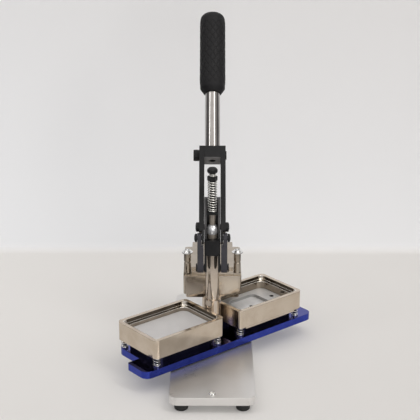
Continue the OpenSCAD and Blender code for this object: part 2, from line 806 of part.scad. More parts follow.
// Tapered side plate of the yoke, rounded round the link bolt
module yoke_plate(side) {
  top = block_s + block_h;
  tilt = asin((yoke_top_r - yoke_low_r) / (top + crank_r));
  color(dark) on_lever() on_side(side) difference() {
    plate_x(yoke_gap, yoke_gap + yoke_t) {
      translate([0, -crank_r]) circle(yoke_low_r);
      polygon([[-yoke_low_r * cos(tilt), -crank_r - yoke_low_r * sin(tilt)],
        [yoke_low_r * cos(tilt), -crank_r - yoke_low_r * sin(tilt)], [yoke_top_r, top], [-yoke_top_r, top]]);
    }
    plate_x(yoke_gap + yoke_lap, yoke_gap + yoke_t + 1) translate([-2 * yoke_low_r, lap_s - 40])
      square([4 * yoke_low_r, 40]);
    bar_x(0, link_end, pin_d);
    translate([0, 0, -crank_r]) bar_x(0, link_end, link_bolt_d);
    translate([0, 0, screw_s]) bar_x(0, link_end, yoke_screw_d);
  }
}

module yoke_plate_left() { yoke_plate(-1); }
module yoke_plate_right() { yoke_plate(1); }

// Block between the yoke plates, bored for the handle bar's spigot
module yoke_block() {
  color(dark) on_lever() difference() {
    translate([-yoke_gap, -yoke_top_r, block_s]) cube([2 * yoke_gap, 2 * yoke_top_r, block_h]);
    translate([0, 0, block_s - 1]) cylinder(h = block_h + 2, d = spigot_d);
    for (side = [-1, 1]) on_side(side) translate([0, 0, screw_s])
      bar_x(yoke_gap - yoke_screw_in, yoke_gap + 1, yoke_screw_d);
  }
}

// Cap screw in the left side of the yoke block
module yoke_screw_left() {
  x = yoke_gap + yoke_t;
  color(dark) on_lever(screw_s) on_side(-1) difference() {
    union() {
      bar_x(yoke_gap - yoke_screw_in, x, yoke_screw_d);
      bar_x(x, x + 7.4, yoke_screw_d + 6);
    }
    translate([x + 3.4, 0, 0]) rotate([0, 90, 0]) cylinder(h = 5, d = yoke_screw_d, $fn = 6);
  }
}

// Low-headed screw in the right side of the yoke block
module yoke_screw_right() {
  x = yoke_gap + yoke_t;
  color(dark) on_lever(screw_s) on_side(1) union() {
    bar_x(yoke_gap - yoke_screw_in, x, yoke_screw_d);
    bar_x(x, x + 1.2, yoke_screw_d + 3);
  }
}

// Pin through both yoke plates and the ram's eye
module lever_pin() {
  x = yoke_gap + yoke_t;
  color(dark) on_lever() union() {
    bar_x(-x, x, pin_d);
    for (side = [-1, 1]) on_side(side) bar_x(x, x + 3.2, pin_head_d);
  }
}

module handle_bar() {
  color([0.72, 0.71, 0.69]) on_lever(bar_s) union() {
    translate([0, 0, -spigot_l]) cylinder(h = spigot_l + 1, d = spigot_d);
    cylinder(h = bar_l + grip_l - 12, d = bar_d);
  }
}

// Moulded grip with a domed end and a chamfered mouth
module grip() {
  r = grip_d / 2;
  color(rubber) on_lever(grip_s) difference() {
    rotate_extrude() {
      polygon([[0, 0], [r - mouth_in, 0], [r, mouth_h], [r, grip_l - 8], [0, grip_l - 8]]);
      translate([r - 8, grip_l - 8]) intersection() {
        circle(8);
        square(8);
      }
      translate([0, grip_l - 9]) square([r - 8, 9]);
    }
    translate([0, 0, -1]) cylinder(h = grip_l - 11, d = bar_d);
  }
}

base_plate();
foot_front_left();
foot_front_right();
foot_back_left();
foot_back_right();
front_screw();
stop_pin();
column();
column_bolt();
thrust_washer();
swivel_plate();
hub_sleeve();
left_die_core();
left_die_insert();
left_die_ring();
left_die_pins();
left_spring_1();
left_spring_2();
left_spring_3();
left_spring_4();
right_die_core();
right_die_ring();
right_die_pins();
right_spring_1();
right_spring_2();
right_spring_3();
right_spring_4();
ram_rod();
die_arm();
upper_die_block();
upper_die_punch();
upper_die_pad();
guide_screw_left();
guide_screw_right();
guide_sleeve_left();
guide_sleeve_right();
head_bracket();
spring_seat();
return_spring();
spring_nut();
spring_cap();
anchor_stud_left();
anchor_stud_right();
link_left();
link_right();
link_bolt_left();
link_bolt_right();
yoke_plate_left();
yoke_plate_right();
yoke_block();
yoke_screw_left();
yoke_screw_right();
lever_pin();
handle_bar();
grip();
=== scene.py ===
import json
import math
import bpy
import bmesh
from mathutils import Matrix, Vector


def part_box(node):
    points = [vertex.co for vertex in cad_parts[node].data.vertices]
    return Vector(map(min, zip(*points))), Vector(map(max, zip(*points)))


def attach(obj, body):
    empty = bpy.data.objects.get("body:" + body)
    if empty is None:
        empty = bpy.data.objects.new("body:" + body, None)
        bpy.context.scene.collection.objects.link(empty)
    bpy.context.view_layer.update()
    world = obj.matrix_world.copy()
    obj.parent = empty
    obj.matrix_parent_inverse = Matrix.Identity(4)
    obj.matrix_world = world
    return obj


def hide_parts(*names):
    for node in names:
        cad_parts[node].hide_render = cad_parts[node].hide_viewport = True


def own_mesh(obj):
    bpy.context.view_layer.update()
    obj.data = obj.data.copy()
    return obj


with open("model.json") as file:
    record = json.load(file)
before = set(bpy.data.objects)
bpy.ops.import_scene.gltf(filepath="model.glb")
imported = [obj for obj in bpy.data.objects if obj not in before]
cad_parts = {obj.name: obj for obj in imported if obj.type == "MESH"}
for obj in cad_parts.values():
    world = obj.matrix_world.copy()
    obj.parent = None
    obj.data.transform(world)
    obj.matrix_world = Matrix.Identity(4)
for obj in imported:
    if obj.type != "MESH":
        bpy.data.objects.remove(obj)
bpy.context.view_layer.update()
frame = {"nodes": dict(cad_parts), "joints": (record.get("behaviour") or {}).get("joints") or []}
nodes = frame["nodes"]
joints = {j["name"]: j for j in frame["joints"]}
print("frame loaded:", len(nodes), "pieces")

mm = 0.001
scene = bpy.context.scene
scene.view_settings.view_transform = "Standard"


# sockets as numbers: an expression on two of them adds a Math node to their tree
class Sock:
    def __init__(self, tree, socket):
        self.tree = tree
        self.socket = socket

    def math(self, operation, first, second=0.0):
        return self.tree.add("ShaderNodeMath", {"operation": operation}, [first, second])

    def __add__(self, other):
        return self.math("ADD", self, other)

    def __sub__(self, other):
        return self.math("SUBTRACT", self, other)

    def __mul__(self, other):
        return self.math("MULTIPLY", self, other)

    def __truediv__(self, other):
        return self.math("DIVIDE", self, other)

    def __rsub__(self, other):
        return self.math("SUBTRACT", other, self)

    def __rmul__(self, other):
        return self.math("MULTIPLY", other, self)

    def __abs__(self):
        return self.math("ABSOLUTE", self)

    def __lt__(self, other):
        return self.math("LESS_THAN", self, other)

    def __gt__(self, other):
        return self.math("GREATER_THAN", self, other)


# one way to add any node: type, settings first, then values or links by socket number or name
class Tree:
    def __init__(self, nodeTree):
        self.nodeTree = nodeTree

    def node(self, kind, settings=None, inputs=None):
        made = self.nodeTree.nodes.new(kind)
        for key, value in (settings or {}).items():
            if key == "stops":
                ramp = made.color_ramp
                while len(ramp.elements) < len(value):
                    ramp.elements.new(0.5)
                for element, (at, colour) in zip(ramp.elements, value):
                    element.position = at
                    element.color = colour
            else:
                setattr(made, key, value)
        pairs = inputs.items() if isinstance(inputs, dict) else enumerate(inputs or [])
        for key, value in pairs:
            if isinstance(value, Sock):
                self.nodeTree.links.new(value.socket, made.inputs[key])
            elif value is not None:
                made.inputs[key].default_value = value
        return made

    def out(self, made, output=0):
        return Sock(self, made.outputs[output])

    def add(self, kind, settings=None, inputs=None, output=0):
        return self.out(self.node(kind, settings, inputs), output)


def newSurface(name):
    material = bpy.data.materials.new(name)
    material.use_nodes = True
    material.node_tree.nodes.clear()
    return material, Tree(material.node_tree)


def closeSurface(tree, inputs):
    shader = tree.add("ShaderNodeBsdfPrincipled", None, inputs)
    tree.node("ShaderNodeOutputMaterial", None, {"Surface": shader})


def objectPlace(tree, scale=(1, 1, 1), turn=(0, 0, 0)):
    place = tree.add("ShaderNodeTexCoord", None, None, "Object")
    return tree.add("ShaderNodeMapping", None, {"Vector": place, "Rotation": turn, "Scale": scale})


def heightOf(tree):
    spot = tree.add("ShaderNodeTexCoord", None, None, "Object")
    return tree.add("ShaderNodeSeparateXYZ", None, [spot], 2)


def upwardness(tree):
    facing = tree.add("ShaderNodeNewGeometry", None, None, "Normal")
    return tree.add("ShaderNodeSeparateXYZ", None, [facing], 2)


def noiseOf(tree, place, scale, detail=3.0, roughness=0.55):
    return tree.add("ShaderNodeTexNoise", None,
                    {"Vector": place, "Scale": scale, "Detail": detail, "Roughness": roughness})


# a value taken from one range to another and held at its ends; the default range suits a noise
def spread(tree, value, low, high, start=0.35, stop=0.65):
    return tree.add("ShaderNodeMapRange", None,
                    {"Value": value, "From Min": start, "From Max": stop, "To Min": low, "To Max": high})


# the Mix node's colour sockets share their names with others, so they go by number
mixSocket = {"amount": 0, "first": 6, "second": 7, "colour": 2}


def mixColours(tree, amount, first, second):
    m = mixSocket
    inputs = {m["amount"]: amount, m["first"]: first, m["second"]: second}
    return tree.add("ShaderNodeMix", {"data_type": "RGBA"}, inputs, m["colour"])


def tint(tree, amount, dark, light):
    return mixColours(tree, amount, (*dark, 1), (*light, 1))


relief = {"edgeSamples": 4, "bumpDepth": 0.1}


# edges rounded by the bevel node, with a fine grain over them
def reliefOf(tree, look, grain, edge, bump):
    soft = tree.add("ShaderNodeBevel", {"samples": relief["edgeSamples"]},
                    {"Radius": look.get("edge", edge) * mm})
    return tree.add("ShaderNodeBump", None,
                    {"Strength": look.get("bump", bump), "Distance": relief["bumpDepth"] * mm,
                     "Height": grain, "Normal": soft})


# metal with soft edges, cloudy gloss and fine tool lines along one axis
def metalSurface(name, look):
    material, tree = newSurface(name)
    even = objectPlace(tree)
    lines = objectPlace(tree, look.get("lineScale", (1, 1, 1)), look.get("lineTurn", (0, 0, 0)))
    cloud = noiseOf(tree, even, look.get("cloudScale", 60))
    grain = noiseOf(tree, lines, look.get("grainScale", 900), detail=2)
    colour = tint(tree, spread(tree, cloud, 0, 1), look["dark"], look["light"])
    gloss = spread(tree, cloud, *look["rough"]) + (grain - 0.5) * look.get("grainGloss", 0.06)
    closeSurface(tree, {"Base Color": colour, "Metallic": look.get("metal", 1.0), "Roughness": gloss,
                        "Normal": reliefOf(tree, look, grain, edge=0.5, bump=0.05),
                        "Specular IOR Level": look.get("shine", 0.5)})
    return material


# metal with more finishes over the first: each layer is a look and a mask(tree) that gives its share
def layeredMetal(name, first, *layers):
    material, tree = newSurface(name)
    even = objectPlace(tree)
    cloud = noiseOf(tree, even, first.get("cloudScale", 60))
    grain = noiseOf(tree, even, first.get("grainScale", 900), detail=2)
    shade = spread(tree, cloud, 0, 1)
    colour = tint(tree, shade, first["dark"], first["light"])
    gloss = spread(tree, cloud, *first["rough"])
    metal = first.get("metal", 1.0)
    for look, mask in layers:
        share = mask(tree)
        colour = mixColours(tree, share, colour, tint(tree, shade, look["dark"], look["light"]))
        gloss = gloss * (1 - share) + spread(tree, cloud, *look["rough"]) * share
        if metal != look.get("metal", 1.0):
            metal = metal * (1 - share) + look.get("metal", 1.0) * share
    gloss = gloss + (grain - 0.5) * first.get("grainGloss", 0.05)
    closeSurface(tree, {"Base Color": colour, "Metallic": metal, "Roughness": gloss,
                        "Normal": reliefOf(tree, first, grain, edge=0.5, bump=0.03),
                        "Specular IOR Level": first.get("shine", 0.5)})
    return material


# rubber and plastic: matt, with a fine moulded grain
def mouldedSurface(name, look):
    material, tree = newSurface(name)
    even = objectPlace(tree)
    cloud = noiseOf(tree, even, look.get("cloudScale", 80))
    grain = noiseOf(tree, even, look.get("grainScale", 2200), detail=2)
    colour = tint(tree, spread(tree, cloud, 0, 1), look["dark"], look["light"])
    closeSurface(tree, {"Base Color": colour, "Roughness": spread(tree, cloud, *look["rough"]),
                        "Normal": reliefOf(tree, look, grain, edge=0.4, bump=0.3),
                        "Specular IOR Level": look.get("shine", 0.5)})
    return material


leverLean = math.radians(36)  # how far the handle leans back at rest

metalLooks = {
    "dieNickel": {"dark": (0.60, 0.51, 0.41), "light": (0.68, 0.59, 0.49), "rough": (0.13, 0.22), "edge": 0.7,
                  "grainScale": 700, "bump": 0.03},
    # the upper die's nickel is the die nickel painted darker, a painted shade
    "upperNickel": {"dark": (0.455, 0.395, 0.325), "light": (0.515, 0.455, 0.385), "rough": (0.14, 0.23),
                    "edge": 0.7, "grainScale": 700, "bump": 0.03},
    "guideSteel": {"dark": (0.36, 0.31, 0.25), "light": (0.42, 0.37, 0.31), "rough": (0.04, 0.08),
                   "edge": 0.3, "bump": 0.01},
    "columnSteel": {"dark": (0.57, 0.49, 0.41), "light": (0.64, 0.56, 0.48), "rough": (0.06, 0.11),
                    "edge": 0.3, "metal": 0.88, "lineScale": (0.02, 0.02, 1), "bump": 0.02},
    # bead nickel is the ring's nickel painted lighter, a painted highlight
    "beadNickel": {"dark": (0.80, 0.77, 0.72), "light": (0.86, 0.83, 0.78), "rough": (0.10, 0.16),
                   "edge": 0.1, "bump": 0.02},
    "chromedRam": {"dark": (0.78, 0.78, 0.78), "light": (0.84, 0.84, 0.84), "rough": (0.03, 0.06),
                   "edge": 0.3, "bump": 0.0},
    "eyeChrome": {"dark": (0.80, 0.81, 0.83), "light": (0.93, 0.93, 0.94), "rough": (0.06, 0.10), "edge": 0.1,
                  "metal": 0.62, "bump": 0.0},
    "turnedBar": {"dark": (0.38, 0.36, 0.345), "light": (0.43, 0.41, 0.395), "rough": (0.06, 0.09),
                  "edge": 0.4, "lineScale": (1, 1, 0.03), "lineTurn": (leverLean, 0, 0), "grainScale": 1500,
                  "bump": 0.015, "grainGloss": 0.04},
    "springWire": {"dark": (0.78, 0.77, 0.73), "light": (0.88, 0.87, 0.83), "rough": (0.08, 0.14),
                   "edge": 0.1, "metal": 0.85},
    "baseAlloy": {"dark": (0.76, 0.745, 0.73), "light": (0.80, 0.785, 0.77), "rough": (0.28, 0.34),
                  "edge": 1.0, "metal": 0.85, "grainScale": 2600, "grainGloss": 0.10, "bump": 0.10,
                  "cloudScale": 25},
    "linkGrey": {"dark": (0.032, 0.031, 0.039), "light": (0.044, 0.042, 0.052), "rough": (0.40, 0.50),
                 "edge": 0.5, "metal": 0.0, "shine": 0.4, "grainScale": 1600, "bump": 0.08},
    "blackOxide": {"dark": (0.0085, 0.0085, 0.0095), "light": (0.0135, 0.0135, 0.0145), "rough": (0.34, 0.44),
                   "edge": 0.5, "metal": 0.0, "shine": 0.3, "grainScale": 1600, "bump": 0.08},
}
mouldedLooks = {
    "gripRubber": {"dark": (0.0085, 0.0080, 0.0090), "light": (0.012, 0.0115, 0.0125), "rough": (0.55, 0.66),
                   "edge": 0.3, "shine": 0.3},
    "footRubber": {"dark": (0.012, 0.012, 0.012), "light": (0.020, 0.020, 0.020), "rough": (0.62, 0.75),
                   "edge": 0.6},
    "paleInsert": {"dark": (0.595, 0.58, 0.575), "light": (0.62, 0.605, 0.60), "rough": (0.40, 0.45),
                   "edge": 0.5, "bump": 0.05},
    "bearingPlastic": {"dark": (0.62, 0.60, 0.54), "light": (0.70, 0.68, 0.62), "rough": (0.45, 0.55)},
}
surfaces = {name: metalSurface(name, look) for name, look in metalLooks.items()}
surfaces.update({name: mouldedSurface(name, look) for name, look in mouldedLooks.items()})

# a die ring: bright outside; inside, a dark painted reflection on the polished walls above the step, a brown
# painted reflection on those below it, and painted highlights in the round corners
dieRing = {"turn": math.radians(40), "middle": 66.4, "half": (54.0, 39.0), "rimWall": 5.0, "lowWall": 8.0,
           "corner": 6.0, "lowCorner": 10.0, "step": 6.0, "margin": 0.3}
rimPaintedReflection = {"dark": (0.085, 0.068, 0.050), "light": (0.12, 0.098, 0.075), "rough": (0.07, 0.10)}
lowPaintedReflection = {"dark": (0.34, 0.29, 0.235), "light": (0.42, 0.365, 0.30), "rough": (0.10, 0.15)}
cornerPaintedHighlight = {"dark": (0.80, 0.76, 0.70), "light": (0.86, 0.82, 0.76), "rough": (0.12, 0.18)}
columnAxis = Vector(joints["swivel"]["pos_m"])
leverPin = Vector(joints["lever_pull"]["pos_m"])
ringLow, ringHigh = (corner[2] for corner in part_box("left_die_ring"))
stepHeight = ringHigh - dieRing["step"] * mm


def dieCentre(side):
    turn, reach = dieRing["turn"], side * dieRing["middle"] * mm
    return Vector((columnAxis.x + reach * math.cos(turn), columnAxis.y + reach * math.sin(turn), 0))


def dieMatrix(side):
    return Matrix.Translation(dieCentre(side)) @ Matrix.Rotation(dieRing["turn"], 4, "Z")


# distances from the middle of a die, along it and across it, and the height
def diePlace(tree, side):
    spot = tree.add("ShaderNodeTexCoord", None, None, "Object")
    local = tree.add("ShaderNodeMapping", {"vector_type": "TEXTURE"},
                     {"Vector": spot, "Location": dieCentre(side), "Rotation": (0, 0, dieRing["turn"])})
    axes = tree.node("ShaderNodeSeparateXYZ", None, [local])
    return abs(tree.out(axes, 0)), abs(tree.out(axes, 1)), heightOf(tree)


def ringInside(side, kind):
    margin, rounding = dieRing["margin"] * mm, dieRing["corner"] * mm
    reach = [(half - dieRing["rimWall"]) * mm + margin for half in dieRing["half"]]

    def mask(tree):
        along, across, height = diePlace(tree, side)
        within = (along < reach[0]) * (across < reach[1])
        if kind == "low":
            return within
        if kind == "rim":
            return within * (height > stepHeight + margin)
        return within * (along > reach[0] - rounding) * (across > reach[1] - rounding)
    return mask


# polished rod below; above the spring seat the threaded stud is painted near-black, a painted shade for the
# shadow inside the spring
rodSteel = {"dark": (0.36, 0.315, 0.265), "light": (0.43, 0.38, 0.325), "rough": (0.10, 0.15), "edge": 0.3,
            "bump": 0.02, "metal": 0.5}
studPaintedShade = {"dark": (0.018, 0.017, 0.016), "light": (0.028, 0.026, 0.025), "rough": (0.26, 0.34)}


def aboveSeat(tree):
    return heightOf(tree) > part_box("spring_seat")[0][2]


# blackened iron; over the head block the web is painted a lighter grey, a painted reflection, and the yoke
# block's underside is painted a lighter grey, a painted reflection of the bright floor
webPaintedReflection = {"dark": (0.070, 0.068, 0.070), "light": (0.090, 0.088, 0.090), "rough": (0.36, 0.46), "metal": 0.0}
underPaintedReflection = {"dark": (0.16, 0.158, 0.165), "light": (0.20, 0.197, 0.205), "rough": (0.36, 0.46), "metal": 0.0}
blackIron = {"headTop": 159.0, "down": -0.5}


def aboveHead(tree):
    return heightOf(tree) > blackIron["headTop"] * mm


def facesDown(tree):
    return upwardness(tree) < blackIron["down"]


# blue plate: satin edges, polished top; the top's lighter, greyer blue is a painted reflection
blueEdge = {"dark": (0.034, 0.052, 0.33), "light": (0.044, 0.066, 0.39), "rough": (0.20, 0.28), "edge": 0.8,
            "grainScale": 2400, "bump": 0.04}
blueTopPaintedReflection = {"dark": (0.075, 0.085, 0.31), "light": (0.090, 0.100, 0.36), "rough": (0.05, 0.09), "up": 0.8}


def facesUp(tree):
    return upwardness(tree) > blueTopPaintedReflection["up"]


# die cores: pale worked top; below the ring's foot the sides are painted dark, a painted shade
coreAlloy = {"dark": (0.64, 0.63, 0.62), "light": (0.68, 0.67, 0.66), "rough": (0.34, 0.38), "edge": 0.5,
             "metal": 0.25, "bump": 0.05}
corePaintedShade = {"dark": (0.050, 0.046, 0.046), "light": (0.075, 0.070, 0.070), "rough": (0.16, 0.24),
            "metal": 1.0, "above": 1.0}

# the right core's pocket: painted shade darkens its walls to grey and its holes to near-black; the floor is
# bright; past clear, all that lies lower is a hole
pocket = {"depth": 4.5, "clear": 25.0, "margin": 0.3, "edge": 1.2}
pocketWallPaintedShade = {"dark": (0.36, 0.355, 0.35), "light": (0.42, 0.415, 0.41), "rough": (0.30, 0.36), "metal": 0.4}
pocketFloor = {"dark": (0.85, 0.845, 0.84), "light": (0.88, 0.875, 0.87), "rough": (0.30, 0.34), "metal": 0.3}
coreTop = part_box("right_die_core")[1][2]


def inPocket(tree):
    return heightOf(tree) < coreTop - pocket["margin"] * mm


def onPocketFloor(tree):
    return heightOf(tree) < coreTop - (pocket["depth"] - pocket["margin"]) * mm


def inHoles(tree):
    along, _, height = diePlace(tree, 1)
    below = height < coreTop - (pocket["depth"] + pocket["margin"]) * mm
    beside = (along > pocket["clear"] * mm) * (height < coreTop - pocket["margin"] * mm)
    return 1 - (1 - below) * (1 - beside)


def underRing(tree):
    return heightOf(tree) < ringLow + corePaintedShade["above"] * mm


surfaces["blueAnodised"] = layeredMetal("blueAnodised", blueEdge, (blueTopPaintedReflection, facesUp))
surfaces["dieCore"] = layeredMetal("dieCore", coreAlloy, (corePaintedShade, underRing))
pocketTop = {**coreAlloy, "edge": pocket["edge"]}
surfaces["pocketCore"] = layeredMetal("pocketCore", pocketTop, (pocketWallPaintedShade, inPocket),
                                      (pocketFloor, onPocketFloor), (corePaintedShade, inHoles),
                                      (corePaintedShade, underRing))
# the inside walls of each ring take painted reflections and their round corners painted highlights
for side, name in ((-1, "leftRingNickel"), (1, "rightRingNickel")):
    surfaces[name] = layeredMetal(name, metalLooks["dieNickel"], (lowPaintedReflection, ringInside(side, "low")),
                                  (rimPaintedReflection, ringInside(side, "rim")),
                                  (cornerPaintedHighlight, ringInside(side, "corner")))
surfaces["ramSteel"] = layeredMetal("ramSteel", rodSteel, (studPaintedShade, aboveSeat))
surfaces["bracketBlack"] = layeredMetal("bracketBlack", metalLooks["blackOxide"], (webPaintedReflection, aboveHead))
surfaces["blockBlack"] = layeredMetal("blockBlack", metalLooks["blackOxide"], (underPaintedReflection, facesDown))
print("finishes made:", len(surfaces))

finishOf = {
    "base_plate": "baseAlloy", "front_screw": "springWire", "stop_pin": "columnSteel",
    "column": "columnSteel", "column_bolt": "springWire", "thrust_washer": "bearingPlastic",
    "swivel_plate": "blueAnodised", "hub_sleeve": "columnSteel", "left_die_insert": "paleInsert",
    "right_die_core": "pocketCore", "left_die_core": "dieCore", "ram_rod": "ramSteel",
    "handle_bar": "turnedBar", "die_arm": "dieNickel", "left_die_ring": "leftRingNickel",
    "right_die_ring": "rightRingNickel", "link_left": "linkGrey", "link_right": "linkGrey",
    "head_bracket": "bracketBlack", "yoke_block": "blockBlack", "grip": "gripRubber",
    "return_spring": "springWire",
}
finishStarts = [("foot_", "footRubber"), ("upper_", "upperNickel"), ("guide_screw", "chromedRam"),
                ("guide_", "guideSteel"), ("left_spring", "springWire"), ("right_spring", "springWire")]
for name, obj in nodes.items():
    byStart = (finish for start, finish in finishStarts if name.startswith(start))
    obj.data.materials.clear()
    obj.data.materials.append(surfaces[finishOf.get(name) or next(byStart, "blackOxide")])
print("finishes laid on the frame")


def newTree(name, sizes):
    nodeTree = bpy.data.node_groups.new(name, "GeometryNodeTree")
    nodeTree.is_modifier = True
    idOf = {}
    for label, kind in sizes.items():
        idOf[label] = nodeTree.interface.new_socket(label, in_out="INPUT", socket_type=kind).identifier
    nodeTree.interface.new_socket("Geometry", in_out="OUTPUT", socket_type="NodeSocketGeometry")
    tree = Tree(nodeTree)
    tree.given = tree.node("NodeGroupInput")
    return tree, idOf


def closeTree(tree, geometry, finish):
    real = tree.add("GeometryNodeRealizeInstances", None, [geometry])
    painted = tree.add("GeometryNodeSetMaterial", None, {"Geometry": real, "Material": surfaces[finish]})
    tree.node("NodeGroupOutput", None, [painted])


def size(tree, label):
    return tree.out(tree.given, label)


tubeSides = 10


# a smooth round tube along a curve
def tubeAlong(tree, curve, radius, capped):
    section = tree.add("GeometryNodeCurvePrimitiveCircle", None, {"Resolution": tubeSides, "Radius": radius})
    tube = tree.add("GeometryNodeCurveToMesh", None,
                    {"Curve": curve, "Profile Curve": section, "Fill Caps": capped})
    return tree.add("GeometryNodeSetShadeSmooth", None, [tube])


def meshFrom(name, built):
    mesh = bpy.data.meshes.new(name)
    built.to_mesh(mesh)
    built.free()
    return mesh


def smoothed(mesh):
    for face in mesh.polygons:
        face.use_smooth = True
    return mesh


# runs a tree on an empty mesh and gives back its plain result
def grow(name, tree, idOf, values):
    seed = bpy.data.objects.new(name + "Seed", bpy.data.meshes.new(name + "Seed"))
    scene.collection.objects.link(seed)
    modifier = seed.modifiers.new("grow", "NODES")
    modifier.node_group = tree.nodeTree
    for label, value in values.items():
        modifier[idOf[label]] = value
    seen = bpy.context.evaluated_depsgraph_get()
    mesh = bpy.data.meshes.new_from_object(seed.evaluated_get(seen))
    bpy.data.objects.remove(seed)
    mesh.name = name
    return mesh


def place(name, mesh, matrix, body, slotName, *stoodFor):
    mesh.transform(matrix)
    mesh.update()
    obj = bpy.data.objects.new(name, mesh)
    scene.collection.objects.link(obj)
    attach(obj, body)
    if stoodFor:
        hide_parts(*stoodFor)
    return obj


wireWork = {"perCurl": 24, "closeRise": 2.1}  # a closed curl climbs closeRise wire radii


# wound wire: a spiral whose first and last curls lie close, given a round section
def wireTree():
    tree, idOf = newTree("woundWire", {"Coil Radius": "NodeSocketFloat", "Wire Radius": "NodeSocketFloat",
                                       "Length": "NodeSocketFloat", "Curls": "NodeSocketFloat",
                                       "Closed Curls": "NodeSocketFloat"})
    curls, closed = size(tree, "Curls"), size(tree, "Closed Curls")
    coil, wire, length = size(tree, "Coil Radius"), size(tree, "Wire Radius"), size(tree, "Length")
    spiral = tree.add("GeometryNodeCurveSpiral", None,
                      {"Resolution": wireWork["perCurl"], "Rotations": curls, "Start Radius": coil,
                       "End Radius": coil, "Height": 0.0})
    along = tree.add("GeometryNodeSplineParameter", None, None, "Factor") * curls
    low = along.math("MINIMUM", along, closed)
    high = along.math("MAXIMUM", along - (curls - closed))
    between = along - low - high
    closeRise = wireWork["closeRise"]
    rise = length - wire * 2 - wire * (2 * closeRise) * closed
    z = wire + (low + high) * wire * closeRise + between * rise / (curls - closed * 2)
    lift = tree.add("ShaderNodeCombineXYZ", None, {"Z": z})
    bent = tree.add("GeometryNodeSetPosition", None, {"Geometry": spiral, "Offset": lift})
    closeTree(tree, tubeAlong(tree, bent, wire, True), "springWire")
    return tree, idOf


windingWire = wireTree()
dieSpring = {"coil": 9.0, "wire": 1.1, "curls": 6.5, "closed": 0.9, "travel": 7.6}
mainSpring = {"coil": 12.0, "wire": 1.5, "curls": 13, "closed": 0.8, "travel": 9.8}


def windSpring(name, look, node, body):
    low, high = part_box(node)
    middle = (Vector(low) + Vector(high)) / 2
    length = high[2] - low[2]
    sizes = {"Coil Radius": (look["coil"] - look["wire"]) / 2 * mm, "Wire Radius": look["wire"] / 2 * mm,
             "Length": length, "Curls": look["curls"], "Closed Curls": look["closed"]}
    mesh = grow(name, *windingWire, sizes)
    obj = place(name, mesh, Matrix.Translation((middle.x, middle.y, low[2])), body, "spring_steel", node)
    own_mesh(obj)


for side in ("left", "right"):
    for k in range(1, 5):
        windSpring(f"{side}DieSpring{k}", dieSpring, f"{side}_spring_{k}", "swivel")
windSpring("returnSpring", mainSpring, "return_spring", "base")
print("springs wound")

# the ram's eye, ground in flats and chromed; its flats stay outside the plain eye and inside the head's bore
ramEye = {"radius": 6.8, "straight": 3.0, "drop": 3.4, "around": 16, "tilts": (0, 22, 44, 66), "over": 0.01}


def makeEye():
    e, around = ramEye, ramEye["around"]
    shell = bmesh.new()
    middle = leverPin.z - e["drop"] * mm
    outer = e["radius"] / math.cos(math.pi / around) / math.cos(math.radians(e["tilts"][1] / 2)) + e["over"]
    rings = []
    levels = [(-1, tilt) for tilt in reversed(e["tilts"])] + [(1, tilt) for tilt in e["tilts"]]
    for k, (way, tilt) in enumerate(levels):
        lift = way * (outer * math.sin(math.radians(tilt)) + e["straight"] / 2)
        wide = outer * math.cos(math.radians(tilt))
        twist = math.pi / around * (k % 2)
        angles = [2 * math.pi * n / around + twist for n in range(around)]
        rings.append([shell.verts.new((leverPin.x + wide * mm * math.cos(a),
                                       leverPin.y + wide * mm * math.sin(a), middle + lift * mm))
                      for a in angles])
    for row, (below, above) in enumerate(zip(rings, rings[1:])):
        for n in range(around):
            m = (n + 1) % around
            if row % 2 == 0:
                shell.faces.new((below[n], below[m], above[n]))
                shell.faces.new((below[m], above[m], above[n]))
            else:
                shell.faces.new((below[n], below[m], above[m]))
                shell.faces.new((below[n], above[m], above[n]))
    shell.faces.new(rings[-1])
    shell.faces.new(list(reversed(rings[0])))
    bmesh.ops.recalc_face_normals(shell, faces=shell.faces)
    mesh = meshFrom("ramEyeFlats", shell)
    mesh.materials.append(surfaces["eyeChrome"])
    place("ramEyeFlats", mesh, Matrix(), "ram", "polished_steel")


makeEye()

# thread between the spring nut and the cap, wound like a spring
studThread = {"stud": 7.6, "wire": 1.0, "pitch": 1.5, "closed": 0.1}


def makeThread():
    t = studThread
    low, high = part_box("spring_nut")[1][2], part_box("spring_cap")[0][2]
    sizes = {"Coil Radius": t["stud"] / 2 * mm, "Wire Radius": t["wire"] / 2 * mm, "Length": high - low,
             "Curls": (high - low) / (t["pitch"] * mm), "Closed Curls": t["closed"]}
    mesh = grow("studThread", *windingWire, sizes)
    place("studThread", mesh, Matrix.Translation((leverPin.x, leverPin.y, low)), "ram", "spring_steel")


makeThread()
print("ram eye ground, stud threaded")

# two fine beads round the step inside each die ring, painted lighter than the ring's nickel as a painted
# highlight
stepBead = {"rim": {"wall": "rimWall", "corner": "corner", "lift": 1.2, "radius": 0.6, "proud": 0.4},
            "low": {"wall": "lowWall", "corner": "lowCorner", "lift": -0.3, "radius": 0.5, "proud": 0.2},
            "cornerCuts": 8}


def beadTree():
    tree, idOf = newTree("stepBead", {"Length": "NodeSocketFloat", "Width": "NodeSocketFloat",
                                      "Corner": "NodeSocketFloat", "Bead Radius": "NodeSocketFloat"})
    loop = tree.add("GeometryNodeCurvePrimitiveQuadrilateral", None,
                    {"Width": size(tree, "Length"), "Height": size(tree, "Width")})
    rounded = tree.add("GeometryNodeFilletCurve", {"mode": "POLY"},
                       {"Curve": loop, "Count": stepBead["cornerCuts"], "Radius": size(tree, "Corner")})
    closeTree(tree, tubeAlong(tree, rounded, size(tree, "Bead Radius"), False), "beadNickel")
    return tree, idOf


